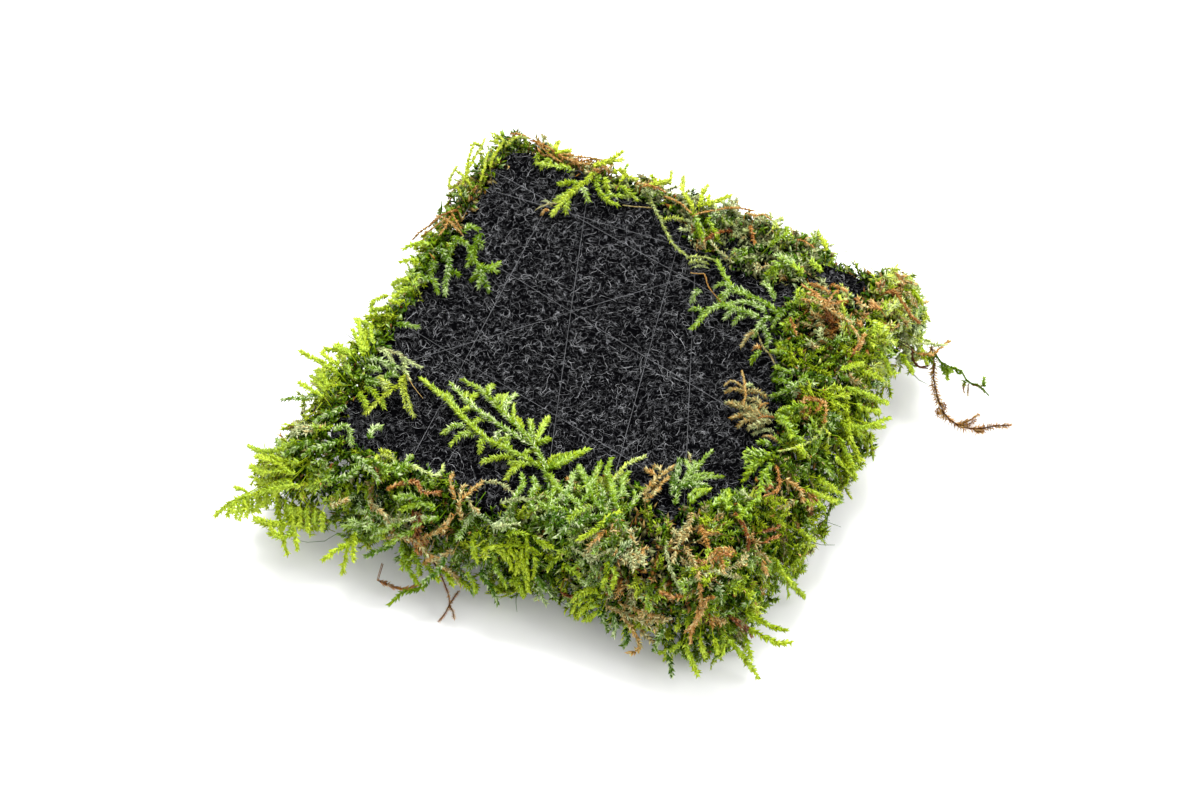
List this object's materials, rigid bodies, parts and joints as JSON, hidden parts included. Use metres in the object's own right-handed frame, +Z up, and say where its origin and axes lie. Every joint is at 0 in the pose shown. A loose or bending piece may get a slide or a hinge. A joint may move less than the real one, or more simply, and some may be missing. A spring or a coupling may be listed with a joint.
{
  "type": "moss pad",
  "caption": "Square of black filter felt lying moss side down, with feather moss grown out round its rims and shoots over its bare face.",
  "frame": {"origin": "middle of the flat patch under the moss that the pad lies on, below the felt's centre", "axes": "+Z up, out of the felt's bare face; X and Y along the felt's sides, with the trailing shoots at +X"},
  "size_m": [0.1237, 0.1039, 0.0286],
  "materials": {
    "felt": "coarse curly non-woven fibre, dull black with thin grey glints",
    "thread": "thin smooth nylon monofilament, dark",
    "moss": "damp green feather moss leaves, yellow-green at the tips and dark inside",
    "pale_shoots": "damp pale green young moss leaves",
    "dead_shoots": "dry brown dead moss shoots"
  },
  "bodies": {
    "root": {"felt_pad": "felt", "tie_thread": "thread", "moss_bed": "moss", "fringe_front": "moss", "fringe_right": "moss", "fringe_back": "moss", "fringe_left": "moss", "tuft_front_left": "moss", "tuft_front_right": "moss", "tuft_back_right": "moss", "tuft_back_left": "moss", "frond_pale": "pale_shoots", "sprig_fern": "moss", "sprig_right": "moss", "sprig_back_long": "moss", "sprig_back_top": "pale_shoots", "sprig_left_upper": "moss", "sprig_left_lower": "moss", "dead_tuft": "dead_shoots", "dead_trailer": "dead_shoots", "green_trailer": "pale_shoots", "dead_twig": "dead_shoots"}
  },
  "joints": []
}
